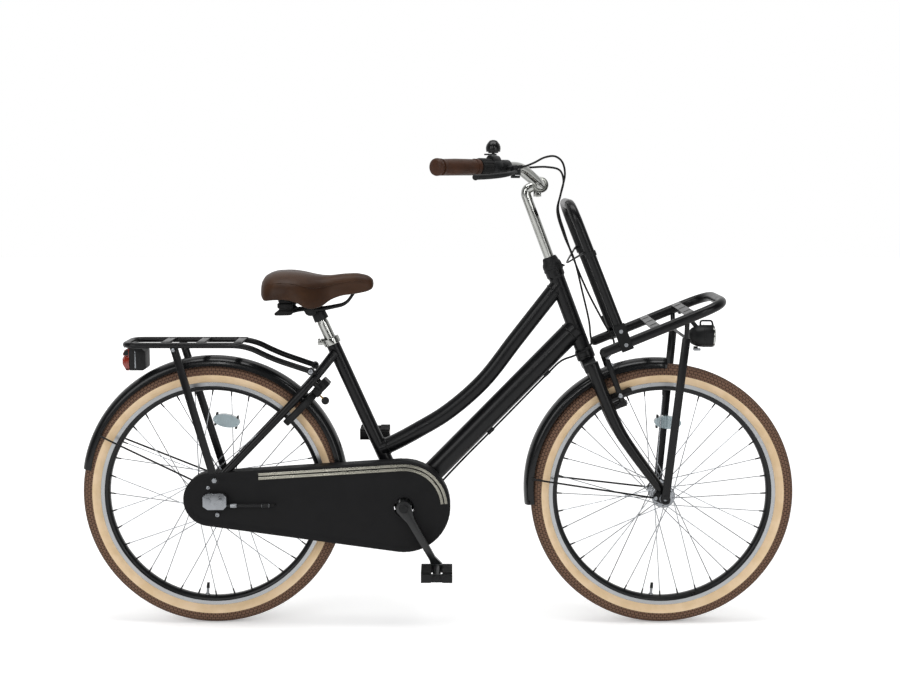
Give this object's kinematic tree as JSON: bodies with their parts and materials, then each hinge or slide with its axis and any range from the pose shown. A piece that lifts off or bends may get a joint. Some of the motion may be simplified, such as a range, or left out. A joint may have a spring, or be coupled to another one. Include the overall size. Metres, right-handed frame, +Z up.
{
  "type": "dutch city bike",
  "caption": "Low-step city bicycle with mudguards, chain case, front and rear carriers, lamps, frame lock and swept-back bars.",
  "frame": {"origin": "on the ground, midway between the two axles", "axes": "+X towards the front wheel, +Y to the rider's left, +Z up"},
  "size_m": [1.629, 0.6242, 1.1102],
  "materials": {
    "black_enamel": "glossy stove enamel",
    "satin_black": "satin moulded plastic",
    "chrome": "polished",
    "aluminium": "clear anodised",
    "zinc_steel": "zinc plated",
    "tyre_brown": "brown tread with a cream sidewall",
    "saddle_leather": "waxed brown leather",
    "grip_leather": "stitched brown leather",
    "rubber": "matt",
    "lamp_glass": "ribbed clear lens",
    "red_lens": "red reflector lens",
    "reflector_plastic": "faceted prism reflector"
  },
  "bodies": {
    "frame": {"frame": "black_enamel", "seat_clamp": "chrome", "rear_fender": "black_enamel", "rear_fender_stay_right": "zinc_steel", "rear_fender_stay_left": "zinc_steel", "rear_rack": "black_enamel", "tail_light_housing": "satin_black", "tail_light_lens": "red_lens", "chaincase_outer": "black_enamel", "chaincase_inner": "satin_black", "chaincase_trim": "chrome", "chain": "zinc_steel", "rear_axle": "zinc_steel", "hub_shifter_box": "aluminium", "gear_cable_lower": "rubber", "ring_lock_housing": "satin_black"},
    "seat": {"seatpost": "chrome", "saddle_clamp": "satin_black", "saddle_rails": "satin_black", "saddle_base": "rubber", "saddle_cover": "saddle_leather"},
    "steering": {"fork": "black_enamel", "headset_cap": "black_enamel", "front_axle": "zinc_steel", "stem": "chrome", "handlebar": "chrome", "grip_right": "grip_leather", "grip_left": "grip_leather", "lever_bracket": "satin_black", "bell": "black_enamel", "front_fender": "black_enamel", "front_fender_stay_right": "zinc_steel", "front_fender_stay_left": "zinc_steel", "front_carrier": "black_enamel", "carrier_hoop": "black_enamel", "carrier_strut": "black_enamel", "headlight_housing": "satin_black", "headlight_lens": "lamp_glass", "brake_cable": "rubber", "gear_cable_upper": "rubber"},
    "front_wheel": {"front_tyre": "tyre_brown", "front_rim": "black_enamel", "front_hub_and_spokes": "aluminium", "front_reflector": "reflector_plastic"},
    "rear_wheel": {"rear_tyre": "tyre_brown", "rear_rim": "black_enamel", "rear_hub_and_spokes": "aluminium", "rear_reflector": "reflector_plastic"},
    "cranks": {"crank_right": "black_enamel", "crank_left": "black_enamel"},
    "sprocket": {"sprocket": "zinc_steel"},
    "pedal_right": {"pedal_right": "rubber"},
    "pedal_left": {"pedal_left": "rubber"},
    "brake_lever": {"brake_lever": "aluminium"},
    "twist_shifter": {"twist_shifter": "rubber"},
    "brake_arm_right": {"brake_arm_right": "satin_black"},
    "brake_arm_left": {"brake_arm_left": "satin_black"},
    "bell_lever": {"bell_lever": "satin_black"},
    "lock_shackle": {"ring_lock_shackle": "zinc_steel"},
    "lock_key": {"ring_lock_key": "zinc_steel"}
  },
  "joints": [
    {"name": "seat_height", "type": "slide", "parent": "frame", "child": "seat", "axis": [-0.4099, 0, 0.9121], "range_m": [-0.03, 0.08]},
    {"name": "steer", "type": "hinge", "parent": "frame", "child": "steering", "pos_m": [0.33554, 0, 0.62202], "axis": [-0.3535, 0, 0.9354], "range_deg": [-60, 60]},
    {"name": "front_wheel_spin", "type": "hinge", "parent": "steering", "child": "front_wheel", "pos_m": [0.5135, 0, 0.301], "axis": [0, 1, 0], "continuous": true},
    {"name": "rear_wheel_spin", "type": "hinge", "parent": "frame", "child": "rear_wheel", "pos_m": [-0.5135, 0, 0.301], "axis": [0, 1, 0], "continuous": true},
    {"name": "crank_spin", "type": "hinge", "parent": "frame", "child": "cranks", "pos_m": [-0.0765, 0, 0.285], "axis": [0, 1, 0], "continuous": true},
    {"name": "sprocket_spin", "type": "hinge", "parent": "frame", "child": "sprocket", "pos_m": [-0.5135, 0, 0.301], "axis": [0, 1, 0], "continuous": true},
    {"name": "pedal_right_spin", "type": "hinge", "parent": "cranks", "child": "pedal_right", "pos_m": [-0.00188, 0, 0.15258], "axis": [0, 1, 0], "continuous": true},
    {"name": "pedal_left_spin", "type": "hinge", "parent": "cranks", "child": "pedal_left", "pos_m": [-0.15112, 0, 0.41742], "axis": [0, 1, 0], "continuous": true},
    {"name": "brake_lever_pull", "type": "hinge", "parent": "steering", "child": "brake_lever", "pos_m": [0.16834, -0.1735, 1.03613], "axis": [0, 0, -1], "range_deg": [0, 14], "stiffness_Nm_per_rad": 0.6},
    {"name": "gear_twist", "type": "hinge", "parent": "steering", "child": "twist_shifter", "pos_m": [0.09946, -0.19499, 1.04713], "axis": [-0.7023, -0.7118, 0], "range_deg": [-40, 40]},
    {"name": "brake_arm_right_close", "type": "hinge", "parent": "steering", "child": "brake_arm_right", "pos_m": [0.4182, -0.041, 0.51642], "axis": [-0.9354, 0, -0.3535], "range_deg": [0, 2.8]},
    {"name": "brake_arm_left_close", "type": "hinge", "parent": "steering", "child": "brake_arm_left", "pos_m": [0.4182, 0.041, 0.51642], "axis": [0.9354, 0, 0.3535], "range_deg": [0, 2.8]},
    {"name": "bell_ring", "type": "hinge", "parent": "steering", "child": "bell_lever", "pos_m": [0.12903, 0.16502, 1.07603], "axis": [0, 0, 1], "range_deg": [0, 20], "stiffness_Nm_per_rad": 0.02},
    {"name": "lock_close", "type": "hinge", "parent": "frame", "child": "lock_shackle", "pos_m": [-0.31551, 0, 0.49899], "axis": [-0.7071, 0, 0.7071], "range_deg": [0, 92]},
    {"name": "key_turn", "type": "hinge", "parent": "frame", "child": "lock_key", "pos_m": [-0.27591, -0.018, 0.53859], "axis": [-0.7071, 0, 0.7071], "range_deg": [-90, 0]}
  ],
  "couplings": [
    {"joint": "sprocket_spin", "follows": "crank_spin", "ratio": 2},
    {"joint": "brake_arm_right_close", "follows": "brake_lever_pull", "ratio": 0.2},
    {"joint": "brake_arm_left_close", "follows": "brake_lever_pull", "ratio": 0.2}
  ]
}
